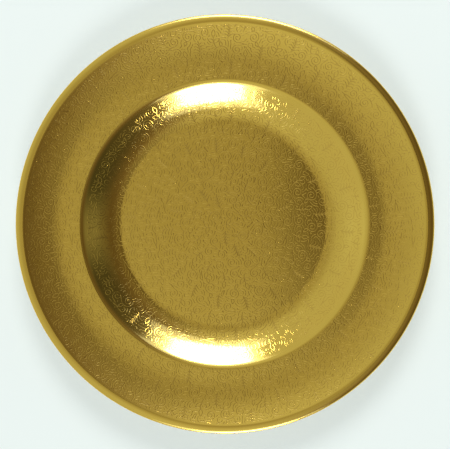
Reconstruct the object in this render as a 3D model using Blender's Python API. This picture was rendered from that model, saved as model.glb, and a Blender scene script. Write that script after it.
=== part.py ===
"""Bread and butter plate: a porcelain body, its glaze, and the gold fired over its face.

Metres, +Z up. The origin is the centre of the foot ring's resting face. Every piece is a solid
of revolution about Z, so each is drawn as an outline of (radius, height) points and spun.
"""

import math

import bmesh
import bpy
from mathutils import Vector

# Overall sizes of the finished plate
PLATE_DIAMETER = 0.162
RIM_WIDTH = 0.0256  # from the outer edge to the verge, the line where the rim meets the well
COVE_WIDTH = 0.0102  # from the verge to the corner where the well's wall meets its floor
WELL_DEPTH = 0.0052  # from the floor up to the verge
RIM_BEND = 0.0130  # from the verge out to the bend in the rim
RIM_INNER_SLOPE = 1.0  # degrees above level, at the verge
RIM_EDGE_SLOPE = 13.0  # degrees above level, where the rim meets the lip

# Porcelain walls
FLOOR_THICKNESS = 0.0036
BODY_THICKNESS = 0.0034  # the well's wall and the root of the rim, square to the face
RIM_THICKNESS = 0.0028  # at the bend in the rim
LIP_THICKNESS = 0.0024
LIP_REACH = 0.0014  # from the crest of the lip out to its edge
LIP_CROWN = 0.00018  # height of the crest above the edge
FOOT_HEIGHT = 0.0030
FOOT_WIDTH = 0.0036  # the flat that the plate stands on, with its two rounded edges
FOOT_INSET = 0.0009  # how far the foot's outer wall leans in, from top to bottom

# Roundings
COVE_RADIUS = 0.024
VERGE_RADIUS = 0.0050
RIM_RADIUS = 0.080
BACK_RADIUS = 0.008
FOOT_ROOT_RADIUS = 0.0015
FOOT_EDGE_RADIUS = 0.0006

# Coats. Each is fused to the one below, which is drawn as a hair gap
GLAZE_THICKNESS = 0.00025
GOLD_THICKNESS = 0.00020
BOND_GAP = 0.00005
WIPED_FOOT = 0.0009  # height of the bare ring that is wiped clean of glaze

# Fields of the gold, measured along the radius
LIP_BAND_WIDTH = 0.0036
LIP_BAND_TURN_UNDER = 0.0012  # how far the band goes on past the lip's underside
VERGE_BAND_RIM_SIDE = 0.0009
VERGE_BAND_WELL_SIDE = 0.0016

# Facets
SPIN_STEPS = 48
COVE_FACETS = 4
VERGE_FACETS = 2
RIM_FACETS = 2
LIP_FACETS = 4
BACK_FACETS = 2
FOOT_FACETS = 2
SHARP_ANGLE = 40.0  # degrees

# Finishes: linear colour, roughness, metallic
BARE_PORCELAIN = ((0.80, 0.78, 0.73), 0.6, 0.0)
CLEAR_GLAZE = ((0.86, 0.85, 0.81), 0.08, 0.0)
ETCHED_GOLD = ((0.80, 0.53, 0.11), 0.28, 1.0)
BURNISHED_GOLD = ((0.80, 0.53, 0.11), 0.12, 1.0)

SAME_POINT = 1e-7  # points nearer than this are one


def clear_scene():
    for obj in list(bpy.data.objects):
        bpy.data.objects.remove(obj)


def rise(run, degrees):
    return run * math.tan(math.radians(degrees))


def rounded(corners):
    """Points along a line through corners of (point, radius, facets), each corner rounded by an arc.

    A radius is limited by the straight stretches beside it.
    """
    points = [corner[0] for corner in corners]
    ways = [(there - here).normalized() for here, there in zip(points, points[1:])]
    trims = [0.0] * len(points)
    for i in range(1, len(points) - 1):
        trims[i] = corners[i][1] * math.tan(ways[i - 1].angle(ways[i]) / 2)
    shares = [1.0] * len(points)
    for i in range(len(points) - 1):
        length = (points[i + 1] - points[i]).length
        if trims[i] + trims[i + 1] > length:
            share = length / (trims[i] + trims[i + 1])
            shares[i] = min(shares[i], share)
            shares[i + 1] = min(shares[i + 1], share)
    path = [points[0]]
    for i in range(1, len(points) - 1):
        into, out = ways[i - 1], ways[i]
        trim = trims[i] * shares[i]
        path += arc(points[i] - into * trim, into, points[i] + out * trim, out, corners[i][2])
    return path + [points[-1]]


def arc(start, into, end, out, facets):
    """Points of the arc from start to end that leaves along into and arrives along out."""
    turn = math.atan2(into.cross(out), into.dot(out))
    if (end - start).length < SAME_POINT:
        return [start]
    side = Vector((-into.y, into.x))
    radius = (end - start).length / (2 * math.sin(turn / 2))
    centre = start + side * radius
    points = []
    for step in range(facets + 1):
        angle = turn * step / facets
        points.append(centre + into * (radius * math.sin(angle)) - side * (radius * math.cos(angle)))
    return points


def meeting(point, along, height):
    """Where the line through a point reaches a height."""
    return point + along * ((height - point.y) / along.y)


def left_of(into, out):
    """The direction square to a line at the corner where it turns from into to out, on its left."""
    return (Vector((-into.y, into.x)) + Vector((-out.y, out.x))).normalized()


def plate_outline():
    """The porcelain's outline in three paths: the face out to the edge, the back in to the foot, the recess."""
    coat = 2 * BOND_GAP + GLAZE_THICKNESS + GOLD_THICKNESS
    edge = PLATE_DIAMETER / 2 - coat
    verge = PLATE_DIAMETER / 2 - RIM_WIDTH
    floor = FOOT_HEIGHT + FLOOR_THICKNESS

    # The lip's crown is a low quarter of an ellipse. It starts where its slope is the rim's
    start = math.pi / 2 + math.atan(rise(LIP_REACH / LIP_CROWN, RIM_EDGE_SLOPE))
    lip_start = edge - LIP_REACH + LIP_REACH * math.cos(start)
    outer_run = lip_start - verge - RIM_BEND

    verge_corner = Vector((verge, floor + WELL_DEPTH))
    rim_bend = verge_corner + Vector((RIM_BEND, rise(RIM_BEND, RIM_INNER_SLOPE)))
    rim_end = rim_bend + Vector((outer_run, rise(outer_run, RIM_EDGE_SLOPE)))
    cove_corner = Vector((verge - COVE_WIDTH, floor))
    face = rounded([
        (Vector((0.0, floor)), 0.0, 0),
        (cove_corner, COVE_RADIUS, COVE_FACETS),
        (verge_corner, VERGE_RADIUS, VERGE_FACETS),
        (rim_bend, RIM_RADIUS, RIM_FACETS),
        (rim_end, 0.0, 0),
    ])

    lip_centre = Vector((edge - LIP_REACH, rim_end.y - LIP_CROWN * math.sin(start)))
    crown, underside = [], []
    for step in range(LIP_FACETS + 1):
        angle = math.pi / 2 * step / LIP_FACETS
        across = LIP_REACH * math.cos(angle)
        crown.append(lip_centre + Vector((across, LIP_CROWN * math.sin(angle))))
        underside.append(lip_centre - Vector((-across, (LIP_THICKNESS - LIP_CROWN) * math.sin(angle))))
    face += crown[::-1]

    # The back runs under the rim and along the well's wall, then down to the foot
    wall = (verge_corner - cove_corner).normalized()
    rim = (rim_bend - verge_corner).normalized()
    upwards = left_of(wall, rim)
    root = verge_corner - upwards * (BODY_THICKNESS / math.cos(wall.angle(rim) / 2))
    foot_top = meeting(root, wall, FOOT_HEIGHT)
    foot_outer = Vector((foot_top.x - FOOT_INSET, 0.0))
    foot_inner = foot_outer - Vector((FOOT_WIDTH, 0.0))
    recess_corner = foot_inner + Vector((-FOOT_INSET, FOOT_HEIGHT))
    middle = (foot_outer + foot_inner) / 2
    rim_back = rim_bend - Vector((0.0, RIM_THICKNESS))
    back = underside[:-1] + rounded([
        (underside[-1], 0.0, 0),
        (rim_back, RIM_RADIUS + RIM_THICKNESS, RIM_FACETS),
        (root, BACK_RADIUS, BACK_FACETS),
        (foot_top, FOOT_ROOT_RADIUS, FOOT_FACETS),
        (foot_outer, FOOT_EDGE_RADIUS, FOOT_FACETS),
        (middle, 0.0, 0),
    ])
    recess = rounded([
        (middle, 0.0, 0),
        (foot_inner, FOOT_EDGE_RADIUS, FOOT_FACETS),
        (recess_corner, FOOT_ROOT_RADIUS, FOOT_FACETS),
        (Vector((0.0, FOOT_HEIGHT)), 0.0, 0),
    ])
    return face, back, recess


def cut(path, axis, low, high):
    """The stretch of a path whose radius (axis 0) or height (axis 1) lies from low to high."""
    kept = []
    for here, there in zip(path, path[1:]):
        first, last = here[axis], there[axis]
        if max(first, last) < low or min(first, last) > high:
            continue
        shares = [0.0, 1.0]
        if first != last:
            shares = sorted((limit - first) / (last - first) for limit in (low, high))
        kept += [here.lerp(there, min(max(share, 0.0), 1.0)) for share in shares]
    return tidy(kept)


def tidy(path):
    """The path without points that repeat the one before."""
    kept = [path[0]]
    for point in path[1:]:
        if (point - kept[-1]).length > SAME_POINT:
            kept.append(point)
    return kept


def offset(path, distance):
    """The path carried outwards, square to itself. An end on the axis stays on it."""
    ways = [(there - here).normalized() for here, there in zip(path, path[1:])]
    sides = [left_of(into, out) for into, out in zip(ways[:1] + ways, ways + ways[-1:])]
    return [point + side * distance for point, side in zip(path, sides)]


def coat_outline(path, inner, outer):
    """A coat on a path, from inner to outer above it."""
    return offset(path, outer) + offset(path, inner)[::-1]


def spun(name, outline, material):
    """A solid made by turning an outline about Z. It closes on itself, or on the axis at both ends."""
    mesh = bpy.data.meshes.new(name)
    bm = bmesh.new()
    verts = [bm.verts.new((point.x, 0.0, point.y)) for point in outline]
    edges = [bm.edges.new(pair) for pair in zip(verts, verts[1:])]
    if outline[0].x > SAME_POINT or outline[-1].x > SAME_POINT:
        edges.append(bm.edges.new((verts[-1], verts[0])))
    bmesh.ops.spin(
        bm,
        geom=verts + edges,
        cent=(0, 0, 0),
        axis=(0, 0, 1),
        angle=math.tau,
        steps=SPIN_STEPS,
        use_merge=True,
    )
    bmesh.ops.remove_doubles(bm, verts=bm.verts, dist=SAME_POINT)
    bmesh.ops.recalc_face_normals(bm, faces=bm.faces)
    bm.to_mesh(mesh)
    bm.free()
    mesh.shade_smooth()
    mesh.set_sharp_from_angle(angle=math.radians(SHARP_ANGLE))
    mesh.materials.append(material)
    bpy.context.collection.objects.link(bpy.data.objects.new(name, mesh))


def finish(name, colour, roughness, metallic):
    material = bpy.data.materials.new(name)
    material.use_nodes = True
    shader = material.node_tree.nodes["Principled BSDF"]
    shader.inputs["Base Color"].default_value = (*colour, 1.0)
    shader.inputs["Roughness"].default_value = roughness
    shader.inputs["Metallic"].default_value = metallic
    return material


def main():
    clear_scene()
    bare = finish("bare_porcelain", *BARE_PORCELAIN)
    glaze = finish("clear_glaze", *CLEAR_GLAZE)
    etched = finish("etched_gold", *ETCHED_GOLD)
    burnished = finish("burnished_gold", *BURNISHED_GOLD)

    face, back, recess = plate_outline()
    edge = face[-1].x
    verge = PLATE_DIAMETER / 2 - RIM_WIDTH
    top = max(point.y for point in face)

    spun("porcelain_body", tidy(face + back + recess), bare)

    # The glaze covers the whole body but for the foot ring, which parts it into two coats
    glaze_top = BOND_GAP + GLAZE_THICKNESS
    outer_back = cut(back, 1, WIPED_FOOT, top)
    spun("glaze_coat", coat_outline(tidy(face + outer_back), BOND_GAP, glaze_top), glaze)
    inner_back = cut(recess, 1, WIPED_FOOT, top)
    spun("foot_recess_glaze", coat_outline(inner_back, BOND_GAP, glaze_top), glaze)

    # The gold lies on the glaze in four fields that meet edge to edge
    gold_low = glaze_top + BOND_GAP
    gold_top = gold_low + GOLD_THICKNESS
    seam = BOND_GAP / 2
    well_edge = verge - VERGE_BAND_WELL_SIDE
    verge_edge = verge + VERGE_BAND_RIM_SIDE
    lip_edge = PLATE_DIAMETER / 2 - LIP_BAND_WIDTH
    under_edge = edge - LIP_REACH - LIP_BAND_TURN_UNDER
    well = cut(face, 0, 0.0, well_edge - seam)
    band = cut(face, 0, well_edge + seam, verge_edge - seam)
    rim = cut(face, 0, verge_edge + seam, lip_edge - seam)
    lip = cut(face, 0, lip_edge + seam, edge) + cut(back, 0, under_edge, edge)
    spun("well_gold", coat_outline(well, gold_low, gold_top), etched)
    spun("verge_gold", coat_outline(band, gold_low, gold_top), burnished)
    spun("rim_gold", coat_outline(rim, gold_low, gold_top), etched)
    spun("lip_gold", coat_outline(tidy(lip), gold_low, gold_top), burnished)


main()
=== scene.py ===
"""Looks of the bread and butter plate: etched and burnished gold over glazed porcelain."""

import math

import bmesh
import bpy
import numpy as np
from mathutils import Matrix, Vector
from mathutils.kdtree import KDTree


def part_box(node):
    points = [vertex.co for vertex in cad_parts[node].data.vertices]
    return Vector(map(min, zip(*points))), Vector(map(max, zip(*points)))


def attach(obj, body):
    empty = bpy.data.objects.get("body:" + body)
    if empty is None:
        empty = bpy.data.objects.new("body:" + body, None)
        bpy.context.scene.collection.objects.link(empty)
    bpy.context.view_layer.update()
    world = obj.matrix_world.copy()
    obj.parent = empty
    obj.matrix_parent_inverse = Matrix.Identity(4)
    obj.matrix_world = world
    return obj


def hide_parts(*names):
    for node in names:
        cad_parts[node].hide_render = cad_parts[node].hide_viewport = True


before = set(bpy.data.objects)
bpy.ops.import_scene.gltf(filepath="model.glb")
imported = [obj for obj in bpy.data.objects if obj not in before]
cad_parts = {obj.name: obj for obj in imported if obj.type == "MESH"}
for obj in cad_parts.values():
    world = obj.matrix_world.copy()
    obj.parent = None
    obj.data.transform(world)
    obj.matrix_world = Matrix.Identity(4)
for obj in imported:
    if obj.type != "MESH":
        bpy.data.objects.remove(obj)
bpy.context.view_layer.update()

MM = 0.001

# Outer sizes, from the frame
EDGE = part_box("lip_gold")[1][0]
LIP_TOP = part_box("lip_gold")[1][2]

# The plate's own sizes, with slopes in degrees
RIM_WIDTH = 25.6 * MM
RIM_BEND = 13.0 * MM  # from the verge, where rim meets well, out to where the rim turns up
RIM_INNER_SLOPE = 1.0
RIM_EDGE_SLOPE = 13.0
COVE_WIDTH = 10.2 * MM
WELL_DEPTH = 5.2 * MM
LIP_REACH = 1.4 * MM
LIP_CROWN = 0.18 * MM
FLOOR_THICKNESS = 3.6 * MM
BODY_THICKNESS = 3.4 * MM
RIM_THICKNESS = 2.8 * MM
LIP_THICKNESS = 2.4 * MM
FOOT_HEIGHT = 3.0 * MM
FOOT_WIDTH = 3.6 * MM
FOOT_INSET = 0.9 * MM
COVE_RADIUS = 24.0 * MM
VERGE_RADIUS = 5.0 * MM
RIM_RADIUS = 80.0 * MM
BACK_RADIUS = 8.0 * MM
FOOT_ROOT_RADIUS = 1.5 * MM
FOOT_EDGE_RADIUS = 0.6 * MM
GLAZE_THICKNESS = 0.25 * MM
GOLD_THICKNESS = 0.20 * MM
BOND_GAP = 0.05 * MM  # stands for the bond under each coat
WIPED_FOOT = 0.9 * MM  # height to which the foot ring was wiped bare
LIP_BAND_WIDTH = 3.6 * MM
LIP_BAND_TURN_UNDER = 1.2 * MM
VERGE_BAND_RIM_SIDE = 0.9 * MM
VERGE_BAND_WELL_SIDE = 1.6 * MM

# Where the fields of gold part, and how high the coats lie above the porcelain
VERGE = EDGE - RIM_WIDTH
WELL_EDGE = VERGE - VERGE_BAND_WELL_SIDE
RIM_START = VERGE + VERGE_BAND_RIM_SIDE
RIM_END = EDGE - LIP_BAND_WIDTH
GLAZE_TOP = BOND_GAP + GLAZE_THICKNESS
GOLD_UNDER = GLAZE_TOP + BOND_GAP
GOLD_TOP = GOLD_UNDER + GOLD_THICKNESS

# How finely the surfaces are turned
PLAIN_STEPS = 180
RIM_STEPS = 1380
RIM_RINGS = 66
RIM_UNDER_RINGS = 3
WELL_GRID = 294
WELL_UNDER_RINGS = 7
WELL_UNDER_FLAT = 8.0 * MM  # from the cove inwards to the one flat face that closes the well's gold below
COVE_FACETS = 24
VERGE_FACETS = 12
BEND_FACETS = 24
BACK_FACETS = 12
CROWN_FACETS = 8
LIP_FACETS = 16
FOOT_ROOT_FACETS = 8
FOOT_EDGE_FACETS = 6
SHARP_EDGE = 50.0  # degrees between faces that meet in a sharp edge
SAME_POINT = 1e-7
ON_FACE = 0.3 * GOLD_THICKNESS  # how near to the face a point has to lie to be part of it

# The etching: lines that the acid bit into the glaze before it was gilded
ETCH_DEPTH = 0.004 * MM  # in the mesh, whose cells are too coarse for more
LINE_DEPTH = 0.0175 * MM  # of the sharp groove that the finish draws
LINE_HALF = 0.16 * MM  # half of the groove's width
LINE_CORE = 0.04 * MM  # half of the line's middle, where its painted shade is darkest
LINE_EDGE = 0.18 * MM  # where its painted shade ends
LINE_SLACK = 0.10 * MM  # taken off the way to a line that the mesh notes, which is too long close to one
BORDER = 0.5 * MM  # over which the etching sets in beside a plain band
WALL_SLOPES = (0.18, 0.32)  # the cove's slopes over which the acid bit ever less
WALL_BITE = 0.80
SCALE_SIZE = 4.0 * MM  # of the ringed scales that fill the ground between the motifs
SCALE_PITCH = 0.92 * MM
SCALE_BLEND = 0.4
SCALE_CLEARANCE = (0.45 * MM, 0.85 * MM)  # from the drawn lines, over which the scales set in

# Its drawing, in millimetres
MOTIF_PITCH = 6.4
MOTIF_TURN = 2.4  # radians from one motif's heading to the next
STROKE_STEP = 0.10
LEAF_STEPS = 12
LEAF_BELLY = 0.8  # below 1 a leaf is widest nearer to its stalk
CURL_STEPS = 48

# Finishes: tones, roughness, and the sizes of what varies over them
GOLD_TONES = ("#F8CD56", "#FED45D")
# Painted shade: a darker gold coloured into the etched lines and scale rings, standing for the shade in
# their grooves
PAINTED_LINE_SHADE = "#E8BD53"
GOLD_CLOUDS = 14.0 * MM
WELL_ROUGHNESS = 0.11
RIM_ROUGHNESS = 0.165
LINE_ROUGHNESS = 0.14
RUBBED_OVER = 4.0 * MM  # from the verge outwards, over which the rim's dulled ground sets in
STIPPLE_SIZE = 0.5 * MM  # the acid's own grain is finer, and is drawn this coarse so that it shows
STIPPLE_DEPTH = 0.003 * MM
BURNISHED_ROUGHNESS = (0.09, 0.13)
GLAZE_TONES = ("#EAE6DC", "#F2F0E9")
GLAZE_ROUGHNESS = (0.05, 0.10)
GLAZE_POOLS = 22.0 * MM
POOL_DEPTH = 0.05 * MM
BISCUIT_TONES = ("#D3CBBB", "#EAE4D7")
BISCUIT_ROUGHNESS = (0.55, 0.75)
GRIT_SIZE = 0.6 * MM  # drawn coarser than the biscuit's own, so that it shows
GRIT_DEPTH = 0.03 * MM

# A Mix node's colour sockets go by number, because its other sockets share their names
MIX_FROM = 6
MIX_TO = 7
MIXED = 2

# The floor
FLOOR_RADIUS = 3.0
PAPER_TONES = ("#DDE5E1", "#E1E9E5")
PAPER_CLOUDS = 120.0 * MM
PAPER_GLOW = "#EEF7F3"
GLOW_SHARE = 0.42

# The studio that the gold mirrors, in tones from its left wall (-1) to its right one (1)
MIDDLE_OF_ROOM = (
    (-0.75, "#C4D0DD"), (-0.50, "#B8C0C4"), (-0.35, "#B4BBBD"), (-0.20, "#A0A29E"), (-0.008, "#A09F95"),
    (0.010, "#443A2F"), (0.05, "#584F42"), (0.10, "#6C655A"), (0.22, "#605850"), (0.32, "#5C5144"),
    (0.70, "#7C7F7D"),
)
ENDS_OF_ROOM = (
    (-0.60, "#BAC2CA"), (-0.30, "#B8C0C4"), (-0.02, "#C6CDD2"), (0.10, "#8E898A"), (0.20, "#6C625B"),
    (0.45, "#4E4B49"), (0.70, "#3C3E3C"),
)
MIDDLE_AT = 0.04  # between the room's near end (-1) and its far end (1)
MIDDLE_REACH = 0.28  # from there to where the tones of the ends hold alone
LOW_WALLS = "#BEC4C6"  # pale walls all round, which the gold mirrors when it is seen from the side
WALLS_FADE = (0.48, 0.68)  # heights over which they run into the tones above

# Lamps: name, azimuth and elevation in degrees, width and height in metres, watts
SOFTBOXES = (
    ("upper_softbox", 87.2, 45.2, 0.52, 0.48, 8.3),
    ("lower_softbox", -88.0, 44.7, 0.41, 0.47, 6.3),
)
# Cool halos round them that only reflections show, and that keep the highlights' edges from turning orange
HALOS = (
    ("upper_halo", 85.5, 49.5, 0.74, 0.76, 2.3),
    ("lower_halo", -88.8, 49.0, 0.62, 0.76, 1.9),
)
HALO_TINT = "#A0B3FF"
LAMP_DISTANCE = 1.15

# The picture, in pixels, and where it was taken from
PICTURE_WIDTH = 450
PLATE_IN_PICTURE = 420.0
RAISED_IN_PICTURE = 0.5
CAMERA_TILT = -2.8  # degrees, which sets the camera a little to the right
CAMERA_DISTANCE = 0.5


# The plate's outline: paths of (radius, height)

def rise(run, degrees):
    """The height that a slope gains over a run."""
    return run * math.tan(math.radians(degrees))


def rounded(corners):
    """Points along a line through corners of (point, radius, facets), each corner rounded by an arc."""
    points = [corner[0] for corner in corners]
    ways = [(there - here).normalized() for here, there in zip(points, points[1:])]
    path = [points[0]]
    for i in range(1, len(points) - 1):
        into, out = ways[i - 1], ways[i]
        trim = corners[i][1] * math.tan(into.angle(out) / 2)
        path += arc(points[i] - into * trim, into, points[i] + out * trim, out, corners[i][2])
    return path + [points[-1]]


def arc(start, into, end, out, facets):
    """Points of the arc from start to end that leaves along into and arrives along out."""
    turn = math.atan2(into.cross(out), into.dot(out))
    side = Vector((-into.y, into.x))
    radius = (end - start).length / (2 * math.sin(turn / 2))
    centre = start + side * radius
    points = []
    for step in range(facets + 1):
        angle = turn * step / facets
        points.append(centre + into * (radius * math.sin(angle)) - side * (radius * math.cos(angle)))
    return points


def left_of(into, out):
    """The direction square to a line at the corner where it turns from into to out, on its left."""
    return (Vector((-into.y, into.x)) + Vector((-out.y, out.x))).normalized()


def lip_paths(edge, start, rim_end):
    """The lip's crown, from where the rim ends out to the edge, and its underside back in."""
    centre = Vector((edge - LIP_REACH, rim_end.y - LIP_CROWN * math.sin(start)))

    def round_lip(angles, height):
        return [centre + Vector((LIP_REACH * math.cos(a), height * math.sin(a))) for a in angles]

    top = math.pi / 2
    inner = [start + (top - start) * step / CROWN_FACETS for step in range(1, CROWN_FACETS)]
    quarter = [top * step / LIP_FACETS for step in range(LIP_FACETS + 1)]
    crown = round_lip(inner + quarter[::-1], LIP_CROWN)
    return crown, round_lip([-angle for angle in quarter], LIP_THICKNESS - LIP_CROWN)


def plate_outline():
    """Three paths round the porcelain: its face out to the edge, its back in to the foot, its recess."""
    edge = EDGE - GOLD_TOP
    floor = FOOT_HEIGHT + FLOOR_THICKNESS
    lip_start = math.pi / 2 + math.atan(rise(LIP_REACH / LIP_CROWN, RIM_EDGE_SLOPE))
    outer_run = edge - LIP_REACH + LIP_REACH * math.cos(lip_start) - VERGE - RIM_BEND
    cove = Vector((VERGE - COVE_WIDTH, floor))
    verge = Vector((VERGE, floor + WELL_DEPTH))
    bend = verge + Vector((RIM_BEND, rise(RIM_BEND, RIM_INNER_SLOPE)))
    rim_end = bend + Vector((outer_run, rise(outer_run, RIM_EDGE_SLOPE)))
    crown, underside = lip_paths(edge, lip_start, rim_end)
    face = rounded([
        (Vector((0.0, floor)), 0.0, 0),
        (cove, COVE_RADIUS, COVE_FACETS),
        (verge, VERGE_RADIUS, VERGE_FACETS),
        (bend, RIM_RADIUS, BEND_FACETS),
        (rim_end, 0.0, 0),
    ]) + crown

    wall = (verge - cove).normalized()
    rim = (bend - verge).normalized()
    root = verge - left_of(wall, rim) * (BODY_THICKNESS / math.cos(wall.angle(rim) / 2))
    foot_top = root + wall * ((FOOT_HEIGHT - root.y) / wall.y)
    foot_outer = Vector((foot_top.x - FOOT_INSET, 0.0))
    foot_inner = foot_outer - Vector((FOOT_WIDTH, 0.0))
    foot_middle = (foot_outer + foot_inner) / 2
    back = underside[:-1] + rounded([
        (underside[-1], 0.0, 0),
        (bend - Vector((0.0, RIM_THICKNESS)), RIM_RADIUS + RIM_THICKNESS, BACK_FACETS),
        (root, BACK_RADIUS, BACK_FACETS),
        (foot_top, FOOT_ROOT_RADIUS, FOOT_ROOT_FACETS),
        (foot_outer, FOOT_EDGE_RADIUS, FOOT_EDGE_FACETS),
        (foot_middle, 0.0, 0),
    ])
    recess = rounded([
        (foot_middle, 0.0, 0),
        (foot_inner, FOOT_EDGE_RADIUS, FOOT_EDGE_FACETS),
        (foot_inner + Vector((-FOOT_INSET, FOOT_HEIGHT)), FOOT_ROOT_RADIUS, FOOT_ROOT_FACETS),
        (Vector((0.0, FOOT_HEIGHT)), 0.0, 0),
    ])
    return face, back, recess


def cut(path, axis, low, high):
    """The stretch of a path whose radius (axis 0) or height (axis 1) lies from low to high."""
    kept = []
    for here, there in zip(path, path[1:]):
        first, last = here[axis], there[axis]
        if max(first, last) < low or min(first, last) > high:
            continue
        shares = [0.0, 1.0]
        if first != last:
            shares = sorted((limit - first) / (last - first) for limit in (low, high))
        kept += [here.lerp(there, min(max(share, 0.0), 1.0)) for share in shares]
    return tidy(kept)


def tidy(path):
    """The path without points that repeat the one before."""
    kept = [path[0]]
    for point in path[1:]:
        if (point - kept[-1]).length > SAME_POINT:
            kept.append(point)
    return kept


def offset(path, distance):
    """The path carried outwards, square to itself."""
    ways = [(there - here).normalized() for here, there in zip(path, path[1:])]
    sides = [left_of(into, out) for into, out in zip(ways[:1] + ways, ways + ways[-1:])]
    return [point + side * distance for point, side in zip(path, sides)]


def coat(path, low, high):
    """The outline of a coat over a path, from low to high above it."""
    return offset(path, high) + offset(path, low)[::-1]


def even(path, count):
    """The path walked in a number of equal steps."""
    lengths = [0.0]
    for here, there in zip(path, path[1:]):
        lengths.append(lengths[-1] + (there - here).length)
    walk = np.linspace(0.0, lengths[-1], count + 1)
    radii = np.interp(walk, lengths, [point.x for point in path])
    heights = np.interp(walk, lengths, [point.y for point in path])
    return [Vector(point) for point in zip(radii, heights)]


# Shapes turned from it

def spun(outline):
    """An outline turned once about the plate's axis."""
    bm = bmesh.new()
    verts = [bm.verts.new((point.x, 0.0, point.y)) for point in outline]
    edges = [bm.edges.new(pair) for pair in zip(verts, verts[1:])]
    if outline[0].x > SAME_POINT or outline[-1].x > SAME_POINT:
        edges.append(bm.edges.new((verts[-1], verts[0])))
    bmesh.ops.spin(
        bm, geom=verts + edges, cent=(0, 0, 0), axis=(0, 0, 1),
        angle=math.tau, steps=PLAIN_STEPS, use_merge=True,
    )
    bmesh.ops.remove_doubles(bm, verts=bm.verts, dist=SAME_POINT)
    return bm


def fine_ring(path, under):
    """A ring with a fine face along a path, from a long grid bent round, closed along its underside."""
    bm = bmesh.new()
    bmesh.ops.create_grid(bm, x_segments=RIM_STEPS, y_segments=RIM_RINGS, size=1.0)
    walk = np.linspace(-1.0, 1.0, len(path))
    across = [vert.co.y for vert in bm.verts]
    radii = np.interp(across, walk, [point.x for point in path])
    heights = np.interp(across, walk, [point.y for point in path])
    for vert, radius, height in zip(bm.verts, radii, heights):
        angle = math.pi * vert.co.x
        vert.co = (radius * math.cos(angle), radius * math.sin(angle), height)
    bmesh.ops.remove_doubles(bm, verts=bm.verts, dist=SAME_POINT)
    middle = (path[0].x + path[-1].x) / 2
    loops = [e for e in bm.edges if e.is_boundary]
    inner = [e for e in loops if math.hypot(*e.verts[0].co.xy) < middle]
    outer = [e for e in loops if math.hypot(*e.verts[0].co.xy) >= middle]
    bmesh.ops.bridge_loops(bm, edges=inner + carried_under(bm, outer, under))
    return bm


def fine_disc(path, under):
    """A disc with a fine face along a path, from a square grid drawn round, closed along its underside."""
    bm = bmesh.new()
    bmesh.ops.create_grid(bm, x_segments=WELL_GRID, y_segments=WELL_GRID, size=1.0)
    edge = path[-1].x
    for vert in bm.verts:
        a, b = vert.co.x, vert.co.y
        if abs(a) > abs(b):
            radius, angle = a * edge, math.pi / 4 * b / a
        elif b:
            radius, angle = b * edge, math.pi / 2 - math.pi / 4 * a / b
        else:
            radius, angle = 0.0, 0.0
        vert.co = (radius * math.cos(angle), radius * math.sin(angle), 0.0)
    spread = np.array([math.hypot(vert.co.x, vert.co.y) for vert in bm.verts])
    heights = np.interp(spread, [point.x for point in path], [point.y for point in path])
    for vert, height in zip(bm.verts, heights):
        vert.co.z = height
    loop = carried_under(bm, [e for e in bm.edges if e.is_boundary], under)
    bmesh.ops.contextual_create(bm, geom=loop)
    return bm


def carried_under(bm, loop, under):
    """Carries an edge loop down and in along the underside, and returns the last loop."""
    for point in reversed(under):
        grown = bmesh.ops.extrude_edge_only(bm, edges=loop)["geom"]
        for vert in (g for g in grown if isinstance(g, bmesh.types.BMVert)):
            share = point.x / math.hypot(vert.co.x, vert.co.y)
            vert.co = (vert.co.x * share, vert.co.y * share, point.y)
        loop = [g for g in grown if isinstance(g, bmesh.types.BMEdge)]
    return loop


def piece(name, bm, material):
    """A finished piece that stands for the node of its name."""
    bmesh.ops.recalc_face_normals(bm, faces=bm.faces)
    mesh = bpy.data.meshes.new(name + "_look")
    bm.to_mesh(mesh)
    bm.free()
    mesh.shade_smooth()
    mesh.set_sharp_from_angle(angle=math.radians(SHARP_EDGE))
    mesh.materials.append(material)
    obj = bpy.data.objects.new(name + "_look", mesh)
    bpy.context.collection.objects.link(obj)
    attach(obj, "root")
    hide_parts(name)
    return obj


# Strokes of the etching: lists of points in millimetres, close enough together to read as lines

def line(*points):
    """Straight strokes from each point to the next."""
    found = []
    for (ax, ay), (bx, by) in zip(points, points[1:]):
        count = max(1, math.ceil(math.hypot(bx - ax, by - ay) / STROKE_STEP))
        found += [(ax + (bx - ax) * i / count, ay + (by - ay) * i / count) for i in range(count)]
    return found + [points[-1]]


def moved(strokes, angle, x, y):
    """Strokes turned about the origin, then carried to a place."""
    c, s = math.cos(angle), math.sin(angle)
    return [(x + c * u - s * v, y + s * u + c * v) for u, v in strokes]


def leaf(length, width):
    """A pointed leaf along +X from the origin, drawn round its edge."""
    shares = [i / LEAF_STEPS for i in range(LEAF_STEPS + 1)]
    upper = [(length * t, width / 2 * math.sin(math.pi * t ** LEAF_BELLY)) for t in shares]
    return line(*upper) + line(*[(u, -v) for u, v in upper])


def curl(outer, inner, turns):
    """A spiral that winds in from +X."""
    points = []
    for i in range(CURL_STEPS + 1):
        radius = outer + (inner - outer) * i / CURL_STEPS
        angle = math.tau * turns * i / CURL_STEPS
        points.append((radius * math.cos(angle), radius * math.sin(angle)))
    return line(*points)


def leaf_sprig():
    """A bowed stem with a pair of leaves and one at its tip."""
    drawn = line((-3.2, -0.7), (-1.9, -0.1), (-0.6, 0.15), (0.6, 0.0))
    for heading in (0.95, -1.05):
        drawn += moved(leaf(2.8, 1.3), heading, -1.5, 0.0)
    return drawn + moved(leaf(2.8, 1.4), -0.1, 0.6, 0.0)


def fern():
    """A bowed stem with curved barbs in pairs, shorter towards its tip."""
    drawn = line((-3.0, -0.4), (-1.4, 0.0), (0.6, 0.1), (2.8, -0.2))
    for i in range(4):
        x = -2.4 + 1.1 * i
        for reach in (2.4 - 0.3 * i, 0.3 * i - 2.4):
            drawn += line((x, 0.0), (x + 0.8, 0.4 * reach), (x + 1.1, 0.75 * reach), (x + 0.9, reach))
    return drawn


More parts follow.
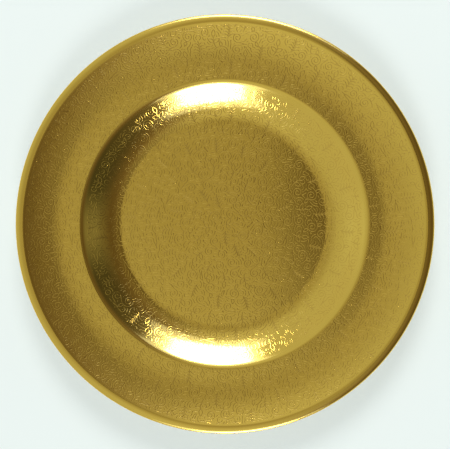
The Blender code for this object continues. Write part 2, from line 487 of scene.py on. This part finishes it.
def tendril():
    """A stem that winds up into a curl, with leaflets on its outer side."""
    drawn = curl(2.1, 0.3, 1.9) + line((2.1, 0.0), (2.05, -1.2), (1.6, -2.4), (0.8, -3.3))
    for x, y, heading in ((2.1, -0.6, -0.2), (-1.8, 0.9, 2.5)):
        drawn += moved(leaf(2.0, 1.1), heading, x, y)
    return drawn


def twin_curl():
    """Two curls that part from one stem."""
    half = moved(curl(1.8, 0.3, 1.6), 0.0, -2.3, 0.3)
    half += line((-0.5, 0.3), (-0.5, -0.7), (-0.3, -1.7), (0.0, -2.6), (0.1, -3.4))
    return half + [(-u, v) for u, v in half]


def etched_strokes():
    """Every point of the drawing: motifs set out like a sunflower's seeds, two in three mirrored."""
    motifs = (leaf_sprig(), tendril(), fern(), twin_curl())
    golden = math.pi * (3 - math.sqrt(5))
    spread = MOTIF_PITCH / math.sqrt(math.pi)
    drawn = []
    for i in range(round((EDGE / MM / spread) ** 2)):
        strokes = motifs[i % len(motifs)]
        if i % 3:
            strokes = [(u, -v) for u, v in strokes]
        radius = spread * math.sqrt(i + 0.5)
        angle = golden * i
        drawn += moved(strokes, MOTIF_TURN * i, radius * math.cos(angle), radius * math.sin(angle))
    return drawn


def etched_drawing():
    """The drawing, ready to be asked for its point nearest to a place."""
    points = etched_strokes()
    drawing = KDTree(len(points))
    for i, (x, y) in enumerate(points):
        drawing.insert((x * MM, y * MM, 0.0), i)
    drawing.balance()
    return drawing


def smooth(share):
    """A share from 0 to 1 that sets in and ends softly."""
    share = np.clip(share, 0.0, 1.0)
    return share * share * (3 - 2 * share)


def etch(mesh, path, drawing, start, end):
    """Sinks the drawing into a face between two radii, and notes how its points lie to the drawn lines."""
    places = np.empty(len(mesh.vertices) * 3, np.float32)
    mesh.vertices.foreach_get("co", places)
    places = places.reshape(-1, 3).astype(float)
    radius = np.hypot(places[:, 0], places[:, 1])
    radii = np.array([point.x for point in path])
    heights = np.array([point.y for point in path])
    slope = np.interp(radius, radii, np.gradient(heights, radii))
    on_face = np.abs(places[:, 2] - np.interp(radius, radii, heights)) < ON_FACE
    inside = np.minimum(smooth((radius - start) / BORDER), smooth((end - radius) / BORDER)) * on_face

    nearest = np.array([drawing.find((x, y, 0.0))[0] for x, y, _ in places])
    to_line = (nearest - places) * (1.0, 1.0, 0.0)
    away = np.hypot(to_line[:, 0], to_line[:, 1])
    groove = 0.5 + 0.5 * np.cos(np.pi * np.minimum(away / LINE_HALF, 1.0))
    bitten = np.interp(slope, WALL_SLOPES, (1.0, WALL_BITE))
    sink = groove * inside * bitten * ETCH_DEPTH / np.sqrt(1 + slope * slope)
    outwards = sink * slope / np.maximum(radius, SAME_POINT)
    places += np.stack([places[:, 0] * outwards, places[:, 1] * outwards, -sink], axis=1)
    mesh.vertices.foreach_set("co", places.ravel().astype(np.float32))

    note(mesh, "to_line", to_line)
    note(mesh, "away", away + (1 - inside) * (LINE_HALF + LINE_SLACK))
    note(mesh, "bitten", bitten)
    mesh.update()


def note(mesh, name, values):
    """Keeps a number or a vector for each point of a mesh, for its finish to read."""
    kind, field = ("FLOAT", "value") if values.ndim == 1 else ("FLOAT_VECTOR", "vector")
    noted = mesh.attributes.new(name, kind, "POINT")
    noted.data.foreach_set(field, values.ravel().astype(np.float32))


# Finishes

def linear(code):
    """An sRGB hex colour as linear RGBA."""
    shades = [int(code[i:i + 2], 16) / 255 for i in (1, 3, 5)]
    return (*[s / 12.92 if s <= 0.04045 else ((s + 0.055) / 1.055) ** 2.4 for s in shades], 1.0)


def add(tree, kind, sockets=None, **settings):
    """A node with its settings, its values and what feeds it."""
    node = tree.nodes.new(kind)
    for name, value in settings.items():
        setattr(node, name, value)
    for name, value in (sockets or {}).items():
        if isinstance(value, bpy.types.NodeSocket):
            tree.links.new(value, node.inputs[name])
        else:
            node.inputs[name].default_value = value
    return node


def new_material(name):
    """A material with its node tree and the place on the piece that its patterns read."""
    material = bpy.data.materials.new(name)
    material.use_nodes = True
    tree = material.node_tree
    tree.nodes.clear()
    return material, tree, add(tree, "ShaderNodeTexCoord").outputs["Object"]


def clouded(tree, place, size, tones, detail):
    """Clouds of a size, from 0 to 1, and a colour that drifts with them from one tone to the other."""
    noise = add(tree, "ShaderNodeTexNoise", {"Vector": place, "Scale": 1 / size, "Detail": detail})
    cloud = noise.outputs["Fac"]
    colour = add(tree, "ShaderNodeMix", {
        "Factor": cloud, MIX_FROM: linear(tones[0]), MIX_TO: linear(tones[1]),
    }, data_type="RGBA")
    return cloud, colour.outputs[MIXED]


def line_distance(tree, away):
    """The way to the nearest line. Midway between lines "to_line" cancels out, so "away" holds it up."""
    to_line = add(tree, "ShaderNodeAttribute", attribute_name="to_line").outputs["Vector"]
    exact = add(tree, "ShaderNodeVectorMath", {0: to_line}, operation="LENGTH").outputs["Value"]
    least = add(tree, "ShaderNodeMath", {0: away, 1: LINE_SLACK}, operation="SUBTRACT").outputs[0]
    return add(tree, "ShaderNodeMath", {0: exact, 1: least}, operation="MAXIMUM").outputs[0]


def scale_work(tree, place, away):
    """Ringed scales that fill the ground: 1 on a line, 0 between lines and close to the drawing."""
    cell = add(tree, "ShaderNodeTexVoronoi", {
        "Vector": place, "Scale": 1 / SCALE_SIZE, "Smoothness": SCALE_BLEND,
    }, voronoi_dimensions="2D", feature="SMOOTH_F1").outputs["Distance"]
    per_scale = SCALE_SIZE / SCALE_PITCH
    rings = add(tree, "ShaderNodeMath", {0: cell, 1: per_scale}, operation="MULTIPLY").outputs[0]
    from_ring = add(tree, "ShaderNodeMath", {0: rings, 1: 0.5}, operation="PINGPONG").outputs[0]
    line_on_ring = add(tree, "ShaderNodeMapRange", {
        "Value": from_ring, "From Max": LINE_HALF / SCALE_PITCH, "To Min": 1.0, "To Max": 0.0,
    }, interpolation_type="SMOOTHSTEP").outputs["Result"]
    clear = add(tree, "ShaderNodeMapRange", {
        "Value": away, "From Min": SCALE_CLEARANCE[0], "From Max": SCALE_CLEARANCE[1],
    }, interpolation_type="SMOOTHSTEP").outputs["Result"]
    return add(tree, "ShaderNodeMath", {0: line_on_ring, 1: clear}, operation="MULTIPLY").outputs[0]


def bitten_relief(tree, place, from_line, scales):
    """The etching as a normal: grooves along all its lines, in ground that the acid left stippled."""
    grain = add(tree, "ShaderNodeTexNoise", {"Vector": place, "Scale": 1 / STIPPLE_SIZE, "Detail": 2.0})
    stipple = add(tree, "ShaderNodeBump", {"Height": grain.outputs["Fac"], "Distance": STIPPLE_DEPTH})
    groove = add(tree, "ShaderNodeMapRange", {
        "Value": from_line, "From Max": LINE_HALF,
    }, interpolation_type="SMOOTHSTEP").outputs["Result"]
    relief = add(tree, "ShaderNodeMath", {0: groove, 1: scales}, operation="SUBTRACT").outputs[0]
    bitten = add(tree, "ShaderNodeAttribute", attribute_name="bitten").outputs["Fac"]
    height = add(tree, "ShaderNodeMath", {0: relief, 1: bitten}, operation="MULTIPLY").outputs[0]
    bump = add(tree, "ShaderNodeBump", {
        "Height": height, "Distance": LINE_DEPTH, "Normal": stipple.outputs["Normal"],
    })
    return bump.outputs["Normal"]


def etched_gold():
    """Gold fired over etched glaze: bright in the well, rubbed duller on the rim, with painted shade
    darkening its lines.
    """
    material, tree, place = new_material("etched_gold")
    away = add(tree, "ShaderNodeAttribute", attribute_name="away").outputs["Fac"]
    from_line = line_distance(tree, away)
    scales = scale_work(tree, place, away)
    drawn = add(tree, "ShaderNodeMapRange", {
        "Value": from_line, "From Min": LINE_CORE, "From Max": LINE_EDGE, "To Min": 1.0, "To Max": 0.0,
    }, interpolation_type="SMOOTHSTEP").outputs["Result"]
    lines = add(tree, "ShaderNodeMath", {0: drawn, 1: scales}, operation="MAXIMUM").outputs[0]
    _, ground = clouded(tree, place, GOLD_CLOUDS, GOLD_TONES, detail=3.0)
    # Painted shade: the lines and scale rings get the darker gold, for the shade in their grooves
    colour = add(tree, "ShaderNodeMix", {
        "Factor": lines, MIX_FROM: ground, MIX_TO: linear(PAINTED_LINE_SHADE),
    }, data_type="RGBA")
    radius = add(tree, "ShaderNodeVectorMath", {0: place}, operation="LENGTH").outputs["Value"]
    rubbed = add(tree, "ShaderNodeMapRange", {
        "Value": radius, "From Min": VERGE, "From Max": VERGE + RUBBED_OVER,
        "To Min": WELL_ROUGHNESS, "To Max": RIM_ROUGHNESS,
    }).outputs["Result"]
    rough = add(tree, "ShaderNodeMapRange", {"Value": lines, "To Min": rubbed, "To Max": LINE_ROUGHNESS})
    gold = add(tree, "ShaderNodeBsdfPrincipled", {
        "Base Color": colour.outputs[MIXED],
        "Metallic": 1.0,
        "Roughness": rough.outputs["Result"],
        "Normal": bitten_relief(tree, place, from_line, scales),
    })
    add(tree, "ShaderNodeOutputMaterial", {"Surface": gold.outputs["BSDF"]})
    return material


def burnished_gold():
    """The same gold on plain glaze, rubbed to a mirror with faint clouds where the rubbing varied."""
    material, tree, place = new_material("burnished_gold")
    cloud, colour = clouded(tree, place, GOLD_CLOUDS, GOLD_TONES, detail=3.0)
    low, high = BURNISHED_ROUGHNESS
    rough = add(tree, "ShaderNodeMapRange", {"Value": cloud, "To Min": low, "To Max": high})
    gold = add(tree, "ShaderNodeBsdfPrincipled", {
        "Base Color": colour,
        "Metallic": 1.0,
        "Roughness": rough.outputs["Result"],
    })
    add(tree, "ShaderNodeOutputMaterial", {"Surface": gold.outputs["BSDF"]})
    return material


def clear_glaze():
    """Feldspar glaze on white porcelain: a warm white under a wet-looking skin that pooled unevenly."""
    material, tree, place = new_material("clear_glaze")
    pool, colour = clouded(tree, place, GLAZE_POOLS, GLAZE_TONES, detail=2.0)
    low, high = GLAZE_ROUGHNESS
    rough = add(tree, "ShaderNodeMapRange", {"Value": pool, "To Min": low, "To Max": high})
    bump = add(tree, "ShaderNodeBump", {"Height": pool, "Distance": POOL_DEPTH})
    glaze = add(tree, "ShaderNodeBsdfPrincipled", {
        "Base Color": colour,
        "Roughness": rough.outputs["Result"],
        "IOR": 1.5,
        "Normal": bump.outputs["Normal"],
    })
    add(tree, "ShaderNodeOutputMaterial", {"Surface": glaze.outputs["BSDF"]})
    return material


def bare_porcelain():
    """Unglazed biscuit of the wiped foot: chalky, gritty, and a little darker than the glaze."""
    material, tree, place = new_material("bare_porcelain")
    grit, colour = clouded(tree, place, GRIT_SIZE, BISCUIT_TONES, detail=4.0)
    low, high = BISCUIT_ROUGHNESS
    rough = add(tree, "ShaderNodeMapRange", {"Value": grit, "To Min": low, "To Max": high})
    bump = add(tree, "ShaderNodeBump", {"Height": grit, "Distance": GRIT_DEPTH})
    biscuit = add(tree, "ShaderNodeBsdfPrincipled", {
        "Base Color": colour,
        "Roughness": rough.outputs["Result"],
        "Normal": bump.outputs["Normal"],
    })
    add(tree, "ShaderNodeOutputMaterial", {"Surface": biscuit.outputs["BSDF"]})
    return material


# Pieces

def porcelain_body(face, back, recess, finish):
    """The turned body, which shows only at the wiped foot."""
    piece("porcelain_body", spun(tidy(face + back + recess)), finish)


def glaze_coat(face, back, finish):
    """The glaze over the face, round the lip and down the back to the wiped foot."""
    path = tidy(face + cut(back, 1, WIPED_FOOT, LIP_TOP))
    piece("glaze_coat", spun(coat(path, BOND_GAP, GLAZE_TOP)), finish)


def foot_recess_glaze(recess, finish):
    """The glaze inside the foot ring."""
    path = cut(recess, 1, WIPED_FOOT, LIP_TOP)
    piece("foot_recess_glaze", spun(coat(path, BOND_GAP, GLAZE_TOP)), finish)


def verge_gold(face, finish):
    """The plain band where the rim meets the well."""
    path = cut(face, 0, WELL_EDGE, RIM_START)
    piece("verge_gold", spun(coat(path, GOLD_UNDER, GOLD_TOP)), finish)


def lip_gold(face, back, finish):
    """The plain band over the lip, turned a little under it."""
    edge = face[-1].x
    under_edge = edge - LIP_REACH - LIP_BAND_TURN_UNDER
    path = tidy(cut(face, 0, RIM_END, edge) + cut(back, 0, under_edge, edge))
    piece("lip_gold", spun(coat(path, GOLD_UNDER, GOLD_TOP)), finish)


def rim_gold(face, finish, drawing):
    """The etched field between the two plain bands."""
    path = cut(face, 0, RIM_START, RIM_END)
    top = offset(path, GOLD_TOP)
    under = even(offset(path, GOLD_UNDER), RIM_UNDER_RINGS)
    obj = piece("rim_gold", fine_ring(even(top, RIM_RINGS), under), finish)
    etch(obj.data, top, drawing, top[0].x, top[-1].x)


def well_gold(face, finish, drawing):
    """The etched field over the well's floor and cove."""
    path = cut(face, 0, 0.0, WELL_EDGE)
    top = offset(path, GOLD_TOP)
    stepped = cut(path, 0, VERGE - COVE_WIDTH - WELL_UNDER_FLAT, WELL_EDGE)
    under = even(offset(stepped, GOLD_UNDER), WELL_UNDER_RINGS)
    obj = piece("well_gold", fine_disc(top, under), finish)
    etch(obj.data, top, drawing, -BORDER, top[-1].x)


def plate():
    """All the pieces, from the body up to the gold."""
    face, back, recess = plate_outline()
    porcelain_body(face, back, recess, bare_porcelain())
    glaze = clear_glaze()
    glaze_coat(face, back, glaze)
    foot_recess_glaze(recess, glaze)
    burnished = burnished_gold()
    verge_gold(face, burnished)
    lip_gold(face, back, burnished)
    etched = etched_gold()
    drawing = etched_drawing()
    rim_gold(face, etched, drawing)
    well_gold(face, etched, drawing)


# Stage

def floor():
    """Pale paper that keeps the plate's shadow, and glows a little so that it is pale in the gold too."""
    bm = bmesh.new()
    bmesh.ops.create_circle(bm, cap_ends=True, segments=96, radius=FLOOR_RADIUS)
    mesh = bpy.data.meshes.new("floor")
    bm.to_mesh(mesh)
    bm.free()
    material, tree, place = new_material("pale_paper")
    _, colour = clouded(tree, place, PAPER_CLOUDS, PAPER_TONES, detail=2.0)
    paper = add(tree, "ShaderNodeBsdfDiffuse", {"Color": colour})
    path = add(tree, "ShaderNodeLightPath")
    seen = add(tree, "ShaderNodeMath", {
        0: path.outputs["Is Camera Ray"], 1: path.outputs["Is Glossy Ray"],
    }, operation="MAXIMUM").outputs[0]
    share = add(tree, "ShaderNodeMath", {0: seen, 1: GLOW_SHARE}, operation="MULTIPLY").outputs[0]
    glow = add(tree, "ShaderNodeEmission", {"Color": linear(PAPER_GLOW)})
    mixed = add(tree, "ShaderNodeMixShader", {
        0: share, 1: paper.outputs["BSDF"], 2: glow.outputs["Emission"],
    })
    add(tree, "ShaderNodeOutputMaterial", {"Surface": mixed.outputs["Shader"]})
    mesh.materials.append(material)
    obj = bpy.data.objects.new("floor", mesh)
    bpy.context.collection.objects.link(obj)


def room():
    """The studio: pale on the left, dark on the right, other tones at its ends, pale walls low down."""
    world = bpy.data.worlds.new("studio")
    bpy.context.scene.world = world
    world.use_nodes = True
    tree = world.node_tree
    tree.nodes.clear()
    way = add(tree, "ShaderNodeTexCoord").outputs["Generated"]
    parts = add(tree, "ShaderNodeSeparateXYZ", {"Vector": way})
    across = add(tree, "ShaderNodeMapRange", {
        "Value": parts.outputs["X"], "From Min": -1.0, "From Max": 1.0,
    })
    tones = []
    for stops in (MIDDLE_OF_ROOM, ENDS_OF_ROOM):
        ramp = add(tree, "ShaderNodeValToRGB", {"Fac": across.outputs["Result"]})
        elements = ramp.color_ramp.elements
        while len(elements) < len(stops):
            elements.new(1.0)
        for element, (x, tone) in zip(elements, stops):
            element.position = (x + 1) / 2
            element.color = linear(tone)
        tones.append(ramp.outputs["Color"])
    along = add(tree, "ShaderNodeMath", {0: parts.outputs["Y"], 1: MIDDLE_AT}, operation="SUBTRACT")
    away = add(tree, "ShaderNodeMath", {0: along.outputs[0]}, operation="ABSOLUTE")
    to_ends = add(tree, "ShaderNodeMapRange", {
        "Value": away.outputs[0], "From Max": MIDDLE_REACH,
    }, interpolation_type="SMOOTHSTEP")
    upper = add(tree, "ShaderNodeMix", {
        "Factor": to_ends.outputs["Result"], MIX_FROM: tones[0], MIX_TO: tones[1],
    }, data_type="RGBA")
    low = add(tree, "ShaderNodeMapRange", {
        "Value": parts.outputs["Z"], "From Min": WALLS_FADE[0], "From Max": WALLS_FADE[1],
        "To Min": 1.0, "To Max": 0.0,
    })
    whole = add(tree, "ShaderNodeMix", {
        "Factor": low.outputs["Result"], MIX_FROM: upper.outputs[MIXED], MIX_TO: linear(LOW_WALLS),
    }, data_type="RGBA")
    back = add(tree, "ShaderNodeBackground", {"Color": whole.outputs[MIXED]})
    add(tree, "ShaderNodeOutputWorld", {"Surface": back.outputs["Background"]})


def lamp(name, azimuth, elevation, width, height, watts):
    """An oval area lamp that faces the plate."""
    light = bpy.data.lights.new(name, "AREA")
    light.shape = "ELLIPSE"
    light.size = width
    light.size_y = height
    light.energy = watts
    obj = bpy.data.objects.new(name, light)
    a, e = math.radians(azimuth), math.radians(elevation)
    at = Vector((math.cos(a) * math.cos(e), math.sin(a) * math.cos(e), math.sin(e))) * LAMP_DISTANCE
    obj.location = at
    obj.rotation_euler = (-at).to_track_quat("-Z", "Y").to_euler()
    obj.visible_camera = False
    bpy.context.collection.objects.link(obj)
    return obj


def lamps():
    """Two softboxes that light the plate, and their halos."""
    for softbox in SOFTBOXES:
        lamp(*softbox)
    for halo in HALOS:
        obj = lamp(*halo)
        obj.data.color = linear(HALO_TINT)[:3]
        obj.visible_diffuse = False


def camera():
    """Looks down with a slight tilt, aimed so that the plate's two sides lie evenly in the picture."""
    tilt = math.radians(CAMERA_TILT)
    data = bpy.data.cameras.new("camera")
    pixel = 2 * EDGE / PLATE_IN_PICTURE
    data.lens = data.sensor_width * CAMERA_DISTANCE / (pixel * PICTURE_WIDTH)
    data.clip_end = 2 * FLOOR_RADIUS
    obj = bpy.data.objects.new("camera", data)
    target = Vector((-math.sin(tilt) * EDGE ** 2 / CAMERA_DISTANCE, -RAISED_IN_PICTURE * pixel, LIP_TOP))
    obj.location = target + Vector((-math.sin(tilt), 0.0, math.cos(tilt))) * CAMERA_DISTANCE
    obj.rotation_euler = (0.0, -tilt, 0.0)
    bpy.context.collection.objects.link(obj)
    bpy.context.scene.camera = obj


plate()
floor()
room()
lamps()
camera()
bpy.context.scene.view_settings.view_transform = "Standard"
